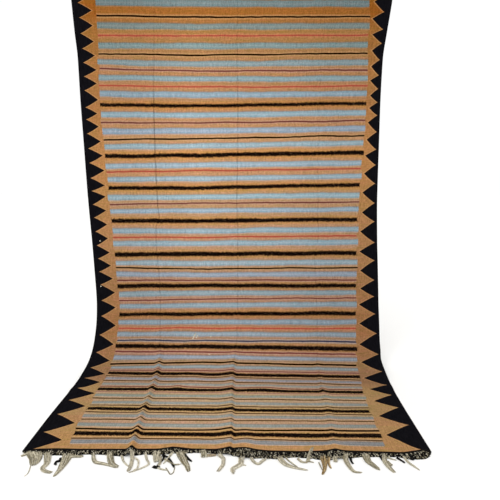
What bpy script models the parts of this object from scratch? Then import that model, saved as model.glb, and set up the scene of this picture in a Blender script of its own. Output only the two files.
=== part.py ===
"""A flat-woven striped rug that hangs by its top edge and sweeps out over the floor.

Two pieces: the woven sheet, and the twined edging with its loose warp ends at the front.
Metres, +Z up, +X across the rug to the right, the rug's face towards -Y.
The origin is the middle of the top edge, where the rug is held.
"""

import math

import bmesh
import bpy
import numpy as np

MM = 0.001

# Driving sizes
RUG_WIDTH = 1.75
CLOTH_THICKNESS = 3 * MM
EDGING_THICKNESS = 8 * MM
PIECE_GAP = 0.4 * MM

# The cloth's middle line seen from the side, from the front edge back and up to the top edge:
# metres ahead of the hanging plane, metres above the floor, millimetres that the middle is
# drawn to the right, and millimetres that the cloth is pulled wider than RUG_WIDTH.
SIDE_VIEW = (
    # ahead, height, drift, wider
    (1.033, 0.000, -4, 0),
    (0.800, 0.000, -5, -2),
    (0.560, 0.000, -2, -7),
    (0.430, 0.004, 2, -8),
    (0.300, 0.021, 6, -8),
    (0.211, 0.046, 8, -8),
    (0.162, 0.086, 14, -6),
    (0.122, 0.134, 17, -5),
    (0.068, 0.245, 21, -4),
    (0.035, 0.364, 19, -4),
    (0.017, 0.551, 11, -5),
    (0.004, 0.735, 2, -7),
    (-0.003, 1.000, -9, -8),
    (-0.006, 1.300, -14, -8),
    (-0.008, 1.600, -18, -8),
    (-0.009, 1.780, -17, -6),
    (0.020, 1.927, -12, 2),
    (0.045, 2.072, -5, 12),
    (0.070, 2.230, 0, 18),
)

# The origin is the middle of the top edge, so each object is moved by this much.
TOP_EDGE_AHEAD = SIDE_VIEW[-1][0]
TOP_EDGE_HEIGHT = SIDE_VIEW[-1][1]

# The front edge isn't straight: place across (0 is the left selvedge and 1 the right one)
# and millimetres that the edge lies ahead of its mean line. It fades out within EDGE_FADE.
EDGE_FADE = 0.06
FRONT_EDGE = (
    # across, ahead
    (0.000, 14),
    (0.012, 8),
    (0.030, 0),
    (0.080, -3),
    (0.140, 1),
    (0.330, 0),
    (0.365, -16),
    (0.380, -13),
    (0.410, -2),
    (0.470, 2),
    (0.525, -9),
    (0.550, -6),
    (0.575, 4),
    (0.605, 13),
    (0.680, 18),
    (0.730, 15),
    (0.755, 7),
    (0.780, 8),
    (0.805, 14),
    (0.860, 19),
    (0.930, 26),
    (0.970, 10),
    (0.990, 0),
    (1.000, 18),
)

# Creases left by folding the rug in quarters, as soft ridges. A row for each place along
# the cloth: metres from the front edge, place across, and in millimetres the crest's height
# and the widths of its left and right flanks.
LEFT_CREASE = (
    # along, across, crest, left flank, right flank
    (0.00, 0.266, 18, 34, 30),
    (0.15, 0.261, 17, 50, 34),
    (0.34, 0.256, 15, 50, 40),
    (0.52, 0.252, 14, 55, 45),
    (0.74, 0.246, 15, 60, 50),
    (0.84, 0.240, 12, 60, 50),
    (0.92, 0.233, 6, 50, 45),
    (1.05, 0.225, 3, 26, 26),
    (1.60, 0.227, 2, 22, 22),
    (3.20, 0.238, 2, 22, 22),
)
MIDDLE_CREASE = (
    # along, across, crest, left flank, right flank
    (0.00, 0.508, 8, 70, 16),
    (0.14, 0.508, 12, 110, 22),
    (0.34, 0.506, 9, 90, 22),
    (0.52, 0.500, 11, 90, 22),
    (0.74, 0.495, 13, 120, 24),
    (0.84, 0.496, 8, 90, 26),
    (0.95, 0.498, 4, 40, 30),
    (1.20, 0.500, 3, 24, 24),
    (1.60, 0.512, 2, 22, 22),
    (3.20, 0.534, 2, 22, 22),
)
RIGHT_CREASE = (
    # along, across, crest, left flank, right flank
    (0.00, 0.767, 6, 40, 40),
    (0.20, 0.775, 4, 40, 50),
    (0.44, 0.782, 5, 40, 50),
    (0.53, 0.778, 8, 24, 50),
    (0.62, 0.778, 4, 30, 50),
    (0.90, 0.780, 3, 40, 40),
    (1.60, 0.789, 2, 22, 22),
    (3.20, 0.789, 2, 22, 22),
)
CREASES = (LEFT_CREASE, MIDDLE_CREASE, RIGHT_CREASE)
CREST_ROUNDING = 0.12

# Low swells in the lying part: metres along, place across, millimetres high, and the
# millimetres that each reaches along and across.
SWELLS = (
    # along, across, height, reach along, reach across
    (0.53, 0.600, 6, 80, 150),
    (0.06, 0.545, 6, 150, 60),
    (0.53, 0.020, 6, 50, 60),
    (0.55, 0.980, 6, 50, 60),
    (0.66, 0.360, 5, 90, 130),
)

# Slow waves that the hanging part keeps: millimetres deep, waves across, waves for each
# metre along, and the phase. They grow in between the two places given in metres.
HANGING_WAVES = (
    # depth, across, along, phase
    (4, 1.6, 0.15, 0.4),
    (3, 2.7, -0.22, 2.1),
)
WAVES_START = 0.95
WAVES_FULL = 1.50

# The cloth's slope is measured over this distance to each side.
SLOPE_REACH = 0.1 * MM

# Rows of the sheet's mesh: each stretch of the cloth's length and its spacing, in metres.
ROW_STRETCHES = (
    # up to, spacing
    (0.060, 0.030),
    (0.560, 0.100),
    (0.740, 0.045),
    (1.120, 0.024),
    (1.500, 0.070),
    (3.200, 0.130),
)
# Columns beside each crest, in millimetres, and the number of plain ones between creases.
CREASE_COLUMNS = (-110, -75, -48, -30, -16, -6, 0, 6, 16, 30, 48)
PLAIN_COLUMNS = 3

# The twined edging's width: place across and millimetres.
EDGING_WIDTH = (
    # across, width
    (0.00, 24),
    (0.20, 22),
    (0.48, 26),
    (0.53, 46),
    (0.56, 54),
    (0.60, 46),
    (0.66, 34),
    (0.73, 36),
    (0.78, 48),
    (0.86, 28),
    (0.92, 40),
    (0.96, 54),
    (1.00, 46),
)
EDGING_SHOULDER = 5 * MM

# Loose warp ends, from left to right. Place across of the root, length and width at the
# root in millimetres, the heading there in degrees (0 is straight ahead, positive to the
# right), and the degrees that it turns over its first and its second half.
LOCKS = (
    # root, length, width, heading, first turn, second turn
    (0.020, 42, 26, 4, 0, 0),
    (0.043, 112, 32, -10, 18, -30),
    (0.072, 110, 18, 22, -30, 70),
    (0.100, 38, 12, -20, -10, -10),
    (0.126, 118, 26, -8, -4, -6),
    (0.152, 44, 14, 26, 8, 6),
    (0.184, 88, 14, 20, 34, 6),
    (0.232, 68, 18, 12, -4, -10),
    (0.251, 56, 10, 4, 0, 0),
    (0.270, 92, 14, 10, -12, -12),
    (0.290, 60, 12, 16, -30, -20),
    (0.316, 96, 12, 22, -50, -40),
    (0.348, 76, 22, -8, -10, -10),
    (0.374, 82, 12, 22, 10, 10),
    (0.408, 108, 24, 26, 4, -14),
    (0.446, 46, 22, 30, 14, 6),
    (0.490, 108, 18, 18, -24, -24),
    (0.532, 106, 18, 14, -40, 24),
    (0.556, 32, 12, 10, 4, 4),
    (0.582, 44, 14, 16, 14, 14),
    (0.610, 36, 12, -8, -4, 0),
    (0.636, 144, 18, 20, 44, 12),
    (0.684, 50, 16, 28, 12, 8),
    (0.716, 46, 12, 2, -4, 8),
    (0.738, 106, 24, 8, -10, -26),
    (0.782, 138, 18, 8, 24, 44),
    (0.806, 38, 12, 14, 0, 6),
    (0.834, 108, 20, 32, 8, -4),
    (0.884, 112, 26, 4, 40, -30),
    (0.918, 84, 16, 28, 10, 6),
    (0.950, 36, 24, 12, 4, 4),
    (0.980, 30, 24, -4, 0, 0),
)
LOCK_STEPS = 8
LOCK_THICKNESS = 6 * MM
# At its tip a lock keeps this share of its width, and loses this share of its thickness.
TIP_SHARE = 0.35
TIP_THINNING = 0.45
# It keeps more of its width near the root the higher this power is.
TAPER_POWER = 1.5
# A lock's top is this share of its foot's width. From a raised root it reaches the floor
# within LANDING.
TOP_SHARE = 0.7
LANDING = 24 * MM
# The edging's mesh has no cut of its own nearer than this to a lock, as a share of the width.
CUT_CLEARANCE = 0.003
# A section through the edging has six sides, and the locks grow out of the low front one.
FRONT_SIDE = 4

# Finishes: the colour that the dyed wool and the warp cotton have from a distance.
WOOL_COLOUR = (0.42, 0.33, 0.24)
WOOL_ROUGHNESS = 0.92
COTTON_COLOUR = (0.62, 0.57, 0.47)
COTTON_ROUGHNESS = 0.95
SHARP_ANGLE = math.radians(40)


def columns(table):
    """The table's columns as arrays."""
    return np.array(table, dtype=float).T


def smooth(where, places, values):
    """A smooth curve through the values that never overshoots them."""
    steps = np.diff(places)
    slopes = np.diff(values) / steps
    joined = np.where(slopes[1:] * slopes[:-1] > 0, 1.0, 0.0)
    total = slopes[1:] + slopes[:-1]
    mean = 2 * slopes[1:] * slopes[:-1] / np.where(joined > 0, total, 1.0)
    bends = np.concatenate([[slopes[0]], mean * joined, [slopes[-1]]])
    spot = np.clip(np.searchsorted(places, where) - 1, 0, len(steps) - 1)
    share = (where - places[spot]) / steps[spot]
    start, end = values[spot], values[spot + 1]
    lead = bends[spot] * steps[spot]
    tail = bends[spot + 1] * steps[spot]
    cubic = share * share * (3 - 2 * share)
    return (
        start
        + (end - start) * cubic
        + lead * share * (1 - share) ** 2
        - tail * share * share * (1 - share)
    )


def side_places():
    """How far along the cloth each row of the side view is, in metres."""
    ahead, height, _, _ = columns(SIDE_VIEW)
    steps = np.hypot(np.diff(ahead), np.diff(height))
    return np.concatenate([[0.0], np.cumsum(steps)])


CLOTH_LENGTH = side_places()[-1]


def crease_relief(table, across, along):
    """The height of a crease's ridge at each place of the cloth."""
    places, crest_at, crest, left, right = columns(table)
    middle = np.interp(along, places, crest_at)
    offset = (across - middle) * RUG_WIDTH
    flank = np.where(offset < 0, np.interp(along, places, left), np.interp(along, places, right))
    out = np.clip(np.abs(offset) / (flank * MM), 0, 1)
    rounded = np.sqrt(out * out + CREST_ROUNDING**2) - CREST_ROUNDING
    full = math.sqrt(1 + CREST_ROUNDING**2) - CREST_ROUNDING
    return np.interp(along, places, crest) * MM * (1 - rounded / full) ** 2


def swell_relief(across, along):
    """The height of the low swells in the lying part."""
    total = np.zeros_like(along)
    for centre, side, height, reach_along, reach_across in SWELLS:
        far = np.hypot(
            (along - centre) / (reach_along * MM),
            (across - side) * RUG_WIDTH / (reach_across * MM),
        )
        total += height * MM * np.cos(np.clip(far, 0, 1) * math.pi / 2) ** 2
    return total


def wave_relief(across, along):
    """The slow waves of the hanging part."""
    grown = np.clip((along - WAVES_START) / (WAVES_FULL - WAVES_START), 0, 1)
    total = np.zeros_like(along)
    for depth, waves, along_waves, phase in HANGING_WAVES:
        total += depth * MM * np.cos(math.tau * (waves * across + along_waves * along) + phase)
    return total * grown * grown * (3 - 2 * grown)


def cloth_points(across, along):
    """The cloth's underside at places across (0 to 1) and along (metres from the front)."""
    places = side_places()
    ahead, height, drift, wider = columns(SIDE_VIEW)
    y = -smooth(along, places, ahead)
    z = smooth(along, places, height)
    before = along - SLOPE_REACH
    after = along + SLOPE_REACH
    slope_y = smooth(before, places, ahead) - smooth(after, places, ahead)
    slope_z = smooth(after, places, height) - smooth(before, places, height)
    length = np.hypot(slope_y, slope_z)
    relief = swell_relief(across, along) + wave_relief(across, along)
    for table in CREASES:
        relief = relief + crease_relief(table, across, along)
    width = RUG_WIDTH + smooth(along, places, wider) * MM
    x = smooth(along, places, drift) * MM + (across - 0.5) * width
    edge_at, edge_ahead = columns(FRONT_EDGE)
    fading = np.clip(1 - along / EDGE_FADE, 0, 1)
    y = y - np.interp(across, edge_at, edge_ahead) * MM * fading
    return np.stack([x, y - relief * slope_z / length, z + relief * slope_y / length], -1)


def surface_normals(points):
    """Unit normals on the cloth's face, for a grid of points in rows up the cloth."""
    over = np.gradient(points, axis=1)
    up = np.gradient(points, axis=0)
    normals = np.cross(over, up)
    return normals / np.linalg.norm(normals, axis=-1, keepdims=True)


def column_places(along):
    """Places across for each column, which follow the creases as they wander."""
    offsets = [side * MM / RUG_WIDTH for side in CREASE_COLUMNS]
    places = [0.0]
    for table in CREASES:
        crest = np.interp(along, columns(table)[0], columns(table)[1])
        places += list(np.linspace(places[-1], crest + offsets[0], PLAIN_COLUMNS + 1)[1:])
        places += [crest + offset for offset in offsets[1:]]
    places += list(np.linspace(places[-1], 1.0, PLAIN_COLUMNS + 1)[1:])
    return np.array(places)


def row_places():
    """Metres along the cloth for each row, closer together where it bends."""
    rows = [0.0]
    for limit, spacing in ROW_STRETCHES:
        end = min(limit, CLOTH_LENGTH)
        count = max(1, round((end - rows[-1]) / spacing))
        rows += list(np.linspace(rows[-1], end, count + 1)[1:])
    return np.array(rows)


def sheet_grid():
    """The sheet's underside as rows of points."""
    grid = []
    for row in row_places():
        places = column_places(row)
        grid.append(cloth_points(places, np.full_like(places, row)))
    return np.array(grid)


def add_object(name, mesh_data, colour, roughness):
    """Links a bmesh as a named object with its own material, its origin at the top edge."""
    mesh = bpy.data.meshes.new(name)
    bmesh.ops.recalc_face_normals(mesh_data, faces=mesh_data.faces)
    mesh_data.to_mesh(mesh)
    mesh_data.free()
    mesh.shade_smooth()
    mesh.set_sharp_from_angle(angle=SHARP_ANGLE)
    material = bpy.data.materials.new(name)
    material.use_nodes = True
    shader = material.node_tree.nodes["Principled BSDF"]
    shader.inputs["Base Color"].default_value = (*colour, 1.0)
    shader.inputs["Roughness"].default_value = roughness
    shader.inputs["Metallic"].default_value = 0.0
    mesh.materials.append(material)
    thing = bpy.data.objects.new(name, mesh)
    thing.location = (0.0, TOP_EDGE_AHEAD, -TOP_EDGE_HEIGHT)
    bpy.context.collection.objects.link(thing)
    return thing


def woven_sheet():
    """The cloth as one closed solid: two skins a thickness apart, joined round the rim."""
    under = sheet_grid()
    over = under + surface_normals(under) * CLOTH_THICKNESS
    rows, count, _ = under.shape
    sheet = bmesh.new()
    low = [[sheet.verts.new(point) for point in row] for row in under]
    high = [[sheet.verts.new(point) for point in row] for row in over]
    for row in range(rows - 1):
        for column in range(count - 1):
            corners = ((row, column), (row, column + 1), (row + 1, column + 1), (row + 1, column))
            sheet.faces.new([high[r][c] for r, c in corners])
            sheet.faces.new([low[r][c] for r, c in reversed(corners)])
    rim = [(0, column) for column in range(count)]
    rim += [(row, count - 1) for row in range(1, rows)]
    rim += [(rows - 1, column) for column in range(count - 2, -1, -1)]
    rim += [(row, 0) for row in range(rows - 2, 0, -1)]
    for (r, c), (s, d) in zip(rim, rim[1:] + rim[:1]):
        sheet.faces.new([low[r][c], low[s][d], high[s][d], high[r][c]])
    return add_object("woven_rug", sheet, WOOL_COLOUR, WOOL_ROUGHNESS)


def lock_route(root, row):
    """The places that a warp end passes on its way from its root, with its headings."""
    _, length, _, heading, first_turn, second_turn = row
    point = np.array(root)
    angle = math.radians(heading)
    step = length * MM / LOCK_STEPS
    route = []
    for number in range(LOCK_STEPS):
        turn = first_turn if number < LOCK_STEPS / 2 else second_turn
        angle += math.radians(turn) / (LOCK_STEPS / 2)
        point = point + step * np.array([math.sin(angle), -math.cos(angle)])
        route.append((point, angle))
    return route


def grow_lock(fringe, ring, row):
    """Draws a four-sided warp end out of an open side of the edging and onto the floor.

    A ring is its left top, left foot, right foot and right top.
    """
    root = sum((vert.co for vert in ring[1:]), ring[0].co) / 4
    root_height = ring[1].co.z
    for number, (point, angle) in enumerate(lock_route(root[:2], row), start=1):
        share = number / LOCK_STEPS
        half = row[2] * MM / 2 * (1 - (1 - TIP_SHARE) * share**TAPER_POWER)
        thick = LOCK_THICKNESS * (1 - TIP_THINNING * share)
        foot = root_height * max(0.0, 1 - share * row[1] * MM / LANDING)
        side = half * np.array([math.cos(angle), math.sin(angle)])
        corners = (
            (*(point - side * TOP_SHARE), foot + thick),
            (*(point - side), foot),
            (*(point + side), foot),
            (*(point + side * TOP_SHARE), foot + thick),
        )
        drawn = [fringe.verts.new(corner) for corner in corners]
        for corner in range(4):
            after = (corner + 1) % 4
            fringe.faces.new([ring[corner], ring[after], drawn[after], drawn[corner]])
        ring = drawn
    fringe.faces.new(ring)


def edging_cuts():
    """Places across where the edging's mesh is cut: at each lock's sides and in between."""
    halves = [row[2] * MM / 2 / RUG_WIDTH for row in LOCKS]
    roots = [(row[0] - half, row[0] + half) for row, half in zip(LOCKS, halves)]
    cuts = [place for root in roots for place in root]
    for place in column_places(0.0):
        if all(place < low - CUT_CLEARANCE or place > high + CUT_CLEARANCE for low, high in roots):
            cuts.append(place)
    return np.array(sorted(cuts)), [low for low, _ in roots]


def warp_fringe():
    """The twined edging, a low bar along the front edge, with the warp ends grown from it."""
    edge = sheet_grid()[0]
    cuts, roots = edging_cuts()
    x, y, z = (np.interp(cuts, column_places(0.0), edge[:, axis]) for axis in range(3))
    across, width = columns(EDGING_WIDTH)
    depth = np.interp(cuts, across, width) * MM
    fringe = bmesh.new()
    sections = []
    for place, back, foot, deep in zip(x, y - PIECE_GAP, z, depth):
        front = back - deep
        top = foot + EDGING_THICKNESS
        # Back foot, back top, top's back, top's front, front top, front foot
        ring = (
            (back, foot),
            (back, top - EDGING_SHOULDER / 2),
            (back - EDGING_SHOULDER, top),
            (front + EDGING_SHOULDER, top),
            (front, foot + LOCK_THICKNESS),
            (front, foot),
        )
        sections.append([fringe.verts.new((place, *point)) for point in ring])
    lock_sides = {int(np.argmin(np.abs(cuts - root))): row for root, row in zip(roots, LOCKS)}
    for number, (left, right) in enumerate(zip(sections, sections[1:])):
        for side in range(len(left)):
            after = (side + 1) % len(left)
            if side == FRONT_SIDE and number in lock_sides:
                ring = [left[side], left[after], right[after], right[side]]
                grow_lock(fringe, ring, lock_sides[number])
            else:
                fringe.faces.new([left[side], left[after], right[after], right[side]])
    fringe.faces.new(sections[0])
    fringe.faces.new(sections[-1])
    return add_object("warp_fringe", fringe, COTTON_COLOUR, COTTON_ROUGHNESS)


def main():
    for thing in list(bpy.data.objects):
        bpy.data.objects.remove(thing, do_unlink=True)
    woven_sheet()
    warp_fringe()


main()
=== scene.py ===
"""A flat-woven wool rug in ochre and blue, hung by its top edge and swept out over the floor."""

import math
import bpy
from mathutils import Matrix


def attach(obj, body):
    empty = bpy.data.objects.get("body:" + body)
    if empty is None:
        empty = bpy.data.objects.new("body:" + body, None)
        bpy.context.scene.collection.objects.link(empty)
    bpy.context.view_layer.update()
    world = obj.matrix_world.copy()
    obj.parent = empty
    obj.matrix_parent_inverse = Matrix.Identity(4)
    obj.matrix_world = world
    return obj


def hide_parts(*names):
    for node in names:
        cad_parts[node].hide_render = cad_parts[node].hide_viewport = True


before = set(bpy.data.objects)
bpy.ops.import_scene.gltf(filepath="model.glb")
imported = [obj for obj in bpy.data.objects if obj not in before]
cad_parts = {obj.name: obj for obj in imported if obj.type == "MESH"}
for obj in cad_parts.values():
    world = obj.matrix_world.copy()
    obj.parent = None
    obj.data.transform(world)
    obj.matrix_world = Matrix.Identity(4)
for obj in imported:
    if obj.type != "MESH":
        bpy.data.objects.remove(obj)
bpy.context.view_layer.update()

from types import SimpleNamespace

import bpy
import numpy as np

MM = 0.001
ROOT = "root"

# Size and shape of the cloth. Its creases are worked a little finer than the solid's.
RUG_WIDTH = 1.75
CLOTH_THICKNESS = 3 * MM
PIECE_GAP = 0.4 * MM
# The middle line seen from the side, from the front edge back and up to the top edge: metres
# ahead of the hanging plane, metres above the floor, millimetres that it is drawn to the right
# and millimetres that the cloth is pulled wider.
SIDE_VIEW = (
    # ahead, height, drift, wider
    (1.033, 0.000, -4, 0),
    (0.800, 0.000, -5, -2),
    (0.560, 0.000, -2, -7),
    (0.430, 0.004, 2, -8),
    (0.300, 0.021, 6, -8),
    (0.211, 0.046, 8, -8),
    (0.162, 0.086, 14, -6),
    (0.122, 0.134, 17, -5),
    (0.068, 0.245, 21, -4),
    (0.035, 0.364, 19, -4),
    (0.017, 0.551, 11, -5),
    (0.004, 0.735, 2, -7),
    (-0.003, 1.000, -9, -8),
    (-0.006, 1.300, -14, -8),
    (-0.008, 1.600, -18, -8),
    (-0.009, 1.780, -17, -6),
    (0.020, 1.927, -12, 2),
    (0.045, 2.072, -5, 12),
    (0.070, 2.230, 0, 18),
)
TOP_EDGE_AHEAD = SIDE_VIEW[-1][0]
TOP_EDGE_HEIGHT = SIDE_VIEW[-1][1]
# Millimetres that the front edge lies ahead of its mean line, by place across.
EDGE_FADE = 0.06
FRONT_EDGE = (
    # across, ahead
    (0.000, 14),
    (0.012, 8),
    (0.030, 0),
    (0.080, -3),
    (0.140, 1),
    (0.330, 0),
    (0.365, -16),
    (0.380, -13),
    (0.410, -2),
    (0.470, 2),
    (0.525, -9),
    (0.550, -6),
    (0.575, 4),
    (0.605, 13),
    (0.680, 18),
    (0.730, 15),
    (0.755, 7),
    (0.780, 8),
    (0.805, 14),
    (0.860, 19),
    (0.930, 26),
    (0.970, 10),
    (0.990, 0),
    (1.000, 18),
)
# Creases left by folding the rug in quarters: metres along, place across, in millimetres the
# crest's height and the widths of its flanks, and how much painted shade darkens the wool there.
LEFT_CREASE = (
    # along, across, crest, left flank, right flank, shade
    (0.00, 0.266, 18, 30, 28, 0.10),
    (0.15, 0.261, 17, 36, 30, 0.10),
    (0.34, 0.256, 15, 36, 30, 0.10),
    (0.52, 0.252, 14, 34, 30, 0.12),
    (0.74, 0.246, 15, 34, 30, 0.10),
    (0.84, 0.240, 12, 34, 30, 0.10),
    (0.92, 0.233, 6, 36, 32, 0.12),
    (1.05, 0.225, 3, 26, 26, 0.16),
    (1.36, 0.226, 2, 22, 22, 0.20),
    (1.50, 0.223, 2, 22, 22, 0.24),
    (1.66, 0.228, 2, 22, 22, 0.20),
    (1.71, 0.242, 2, 22, 22, 0.24),
    (1.78, 0.239, 2, 22, 22, 0.34),
    (2.08, 0.240, 2, 22, 22, 0.36),
    (2.38, 0.244, 2, 22, 22, 0.34),
    (2.50, 0.246, 2, 22, 22, 0.20),
    (2.90, 0.258, 2, 22, 22, 0.06),
    (3.20, 0.262, 2, 22, 22, 0.04),
)
MIDDLE_CREASE = (
    # along, across, crest, left flank, right flank, shade
    (0.00, 0.508, 8, 70, 16, 0.10),
    (0.14, 0.508, 12, 110, 22, 0.12),
    (0.34, 0.506, 9, 90, 22, 0.12),
    (0.52, 0.500, 11, 90, 22, 0.12),
    (0.74, 0.495, 13, 120, 24, 0.12),
    (0.84, 0.496, 8, 90, 26, 0.10),
    (0.95, 0.498, 4, 40, 30, 0.10),
    (1.20, 0.500, 3, 24, 24, 0.14),
    (1.60, 0.512, 2, 22, 22, 0.18),
    (1.80, 0.514, 2, 22, 22, 0.24),
    (2.08, 0.520, 2, 22, 22, 0.24),
    (2.38, 0.525, 2, 22, 22, 0.20),
    (2.66, 0.522, 2, 22, 22, 0.14),
    (2.92, 0.518, 2, 22, 22, 0.08),
    (3.20, 0.514, 2, 22, 22, 0.06),
)
RIGHT_CREASE = (
    # along, across, crest, left flank, right flank, shade
    (0.00, 0.767, 6, 40, 40, 0.05),
    (0.20, 0.775, 4, 40, 50, 0.05),
    (0.44, 0.782, 5, 40, 50, 0.05),
    (0.53, 0.778, 8, 24, 50, 0.06),
    (0.62, 0.778, 4, 30, 50, 0.06),
    (0.90, 0.780, 3, 40, 40, 0.10),
    (1.45, 0.779, 2, 22, 22, 0.14),
    (1.60, 0.794, 2, 22, 22, 0.12),
    (2.10, 0.795, 2, 22, 22, 0.10),
    (2.40, 0.797, 2, 22, 22, 0.04),
    (3.20, 0.797, 2, 22, 22, 0.02),
)
CREASES = (LEFT_CREASE, MIDDLE_CREASE, RIGHT_CREASE)
CREST_ROUNDING = 0.12
SWELLS = (
    # along, across, height, reach along, reach across
    (0.53, 0.600, 6, 80, 150),
    (0.06, 0.545, 6, 150, 60),
    (0.53, 0.020, 6, 50, 60),
    (0.55, 0.980, 6, 50, 60),
    (0.66, 0.360, 5, 90, 130),
    (0.56, 0.330, 7, 50, 60),
)
HANGING_WAVES = (
    # depth, across, along, phase
    (4, 1.6, 0.15, 0.4),
    (3, 2.7, -0.22, 2.1),
)
WAVES_START = 0.95
WAVES_FULL = 1.50
SLOPE_REACH = 0.1 * MM

# The weaver's chart, from the front edge up: each stripe's yarn, the place of its middle along
# the cloth and its width, both in millimetres. All between them is ochre ground.
BLUE, BLACK, RED, MAROON, NAVY = "blue", "black", "red", "maroon", "navy"
BROWN, DARK, ROSE = "brown", "dark", "rose"
CHART = (
    # yarn, middle, width
    (BLUE, 51, 34),
    (BROWN, 74, 9),
    (BLACK, 109, 36),
    (DARK, 146, 14),
    (BLUE, 183, 34),
    (BROWN, 228, 10),
    (BLUE, 260, 31),
    (BROWN, 294, 10),
    (BLACK, 326, 33),
    (BROWN, 361, 10),
    (BLUE, 391, 30),
    (BROWN, 434, 11),
    (BLUE, 464, 30),
    (ROSE, 501, 10),
    (BLACK, 527, 34),
    (MAROON, 556, 9),
    (BLUE, 583, 27),
    (BROWN, 618, 11),
    (BLUE, 640, 26),
    (BROWN, 664, 9),
    (BLACK, 691, 32),
    (MAROON, 726, 9),
    (BLUE, 762, 34),
    (DARK, 801, 15),
    (BLUE, 845, 34),
    (MAROON, 879, 9),
    (BLACK, 913, 31),
    (NAVY, 949, 8),
    (BLUE, 989, 36),
    (RED, 1025, 8),
    (BLUE, 1063, 38),
    (BLACK, 1114, 28),
    (BLUE, 1167, 38),
    (MAROON, 1206, 8),
    (BLUE, 1243, 40),
    (BLACK, 1290, 29),
    (MAROON, 1324, 8),
    (BLUE, 1358, 37),
    (DARK, 1395, 9),
    (BLUE, 1429, 40),
    (BLACK, 1486, 32),
    (BLUE, 1552, 41),
    (RED, 1590, 8),
    (BLUE, 1629, 39),
    (BLACK, 1690, 30),
    (BLUE, 1752, 37),
    (MAROON, 1797, 8),
    (BLUE, 1835, 38),
    (BLACK, 1890, 27),
    (BLUE, 1943, 38),
    (RED, 1989, 8),
    (BLUE, 2023, 40),
    (BLACK, 2082, 28),
    (BLUE, 2135, 38),
    (DARK, 2176, 9),
    (BLUE, 2219, 41),
    (MAROON, 2266, 8),
    (BLUE, 2310, 40),
    (BLACK, 2363, 24),
    (BLUE, 2422, 41),
    (RED, 2466, 8),
    (BLUE, 2510, 38),
    (MAROON, 2555, 8),
    (BLUE, 2593, 40),
    (DARK, 2641, 9),
    (BLUE, 2688, 40),
    (RED, 2741, 8),
    (BLUE, 2789, 40),
    (DARK, 2837, 9),
    (BLUE, 2904, 44),
    (RED, 2955, 8),
    (BLUE, 3002, 32),
    (DARK, 3042, 9),
)
# The weft isn't beaten evenly: millimetres that it runs further along at the left and at the
# right side than in the middle.
UNEVEN_WEFT = (
    # along, left, right
    (0, 0, 0),
    (80, 8, -12),
    (160, 9, -6),
    (330, 9, -17),
    (430, 6, -18),
    (540, 11, -23),
    (620, 9, -31),
    (700, 9, -24),
    (800, -12, -22),
    (880, 2, -15),
    (915, 1, -18),
    (950, 2, -5),
    (1110, -3, 2),
    (1205, -10, 5),
    (1290, -3, -1),
    (1395, 3, 4),
    (1490, -3, 6),
    (1690, 0, 8),
    (1800, -6, 6),
    (1890, -2, 14),
    (2080, -6, 11),
    (2175, -3, 16),
    (2265, 2, 12),
    (2365, 4, 11),
    (2465, 8, 6),
    (2555, 9, 4),
    (2640, 6, 9),
    (2740, 2, 5),
    (2840, 6, 0),
    (3074, 3, 0),
)
UNEVEN_SIDES = (0.15, 0.39, 0.85)
# Where the striped field begins, in millimetres from the left and the right selvedge.
FIELD_SIDES = (
    # along, left, right
    (0, 186, 186),
    (120, 170, 181),
    (330, 161, 180),
    (540, 147, 168),
    (700, 148, 157),
    (900, 139, 148),
    (1200, 136, 140),
    (1500, 132, 124),
    (1700, 127, 116),
    (1900, 125, 105),
    (2090, 120, 93),
    (2300, 112, 84),
    (2480, 114, 82),
    (2640, 122, 88),
    (2800, 130, 107),
    (2910, 135, 125),
    (3074, 140, 140),
)
# The black teeth of the borders, from the front up, in millimetres: the notch before the
# tooth and its tip, both by place along, and how far the tip reaches in from the selvedge.
LEFT_TEETH = (
    # notch, tip, reach
    (-2, 66, 136),
    (129, 204, 143),
    (284, 360, 139),
    (421, 495, 142),
    (538, 613, 128),
    (654, 693, 131),
    (755, 817, 121),
    (876, 926, 118),
    (985, 1042, 116),
    (1100, 1152, 112),
    (1196, 1246, 111),
    (1296, 1333, 104),
    (1377, 1414, 98),
    (1458, 1495, 97),
    (1539, 1582, 93),
    (1625, 1668, 97),
    (1710, 1753, 99),
    (1789, 1837, 103),
    (1870, 1903, 103),
    (1947, 1992, 107),
    (2036, 2079, 103),
    (2120, 2161, 97),
    (2206, 2246, 92),
    (2286, 2320, 89),
    (2354, 2396, 99),
    (2449, 2487, 97),
    (2526, 2561, 100),
    (2602, 2640, 95),
    (2677, 2713, 98),
    (2754, 2794, 101),
    (2835, 2870, 103),
    (2909, 2950, 102),
    (2990, 3030, 102),
    (3070, 3110, 102),
)
RIGHT_TEETH = (
    # notch, tip, reach
    (-3, 105, 154),
    (187, 266, 144),
    (346, 411, 131),
    (474, 538, 127),
    (574, 654, 134),
    (717, 804, 119),
    (863, 926, 122),
    (994, 1054, 119),
    (1113, 1171, 117),
    (1221, 1271, 107),
    (1324, 1383, 104),
    (1446, 1501, 106),
    (1557, 1625, 98),
    (1686, 1741, 87),
    (1798, 1861, 86),
    (1915, 1974, 78),
    (2024, 2079, 75),
    (2114, 2172, 69),
    (2215, 2269, 65),
    (2309, 2351, 60),
    (2382, 2420, 57),
    (2457, 2503, 61),
    (2531, 2580, 60),
    (2615, 2666, 63),
    (2703, 2749, 77),
    (2774, 2829, 90),
    (2862, 2913, 92),
    (2955, 3000, 95),
    (3045, 3090, 95),
)
# The last few millimetres of a tip are too fine to see, so they come on top of its reach.
TIP_FINENESS = 5.0
# How far in from the selvedge the notches lie, in millimetres, by place along.
NOTCH_DEPTH = (
    # along, left, right
    (0, 31, 30),
    (540, 33, 25),
    (870, 26, 12),
    (1220, 29, 26),
    (1560, 26, 15),
    (2200, 24, 15),
    (2700, 31, 18),
    (2860, 34, 34),
    (3074, 34, 34),
)

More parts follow.
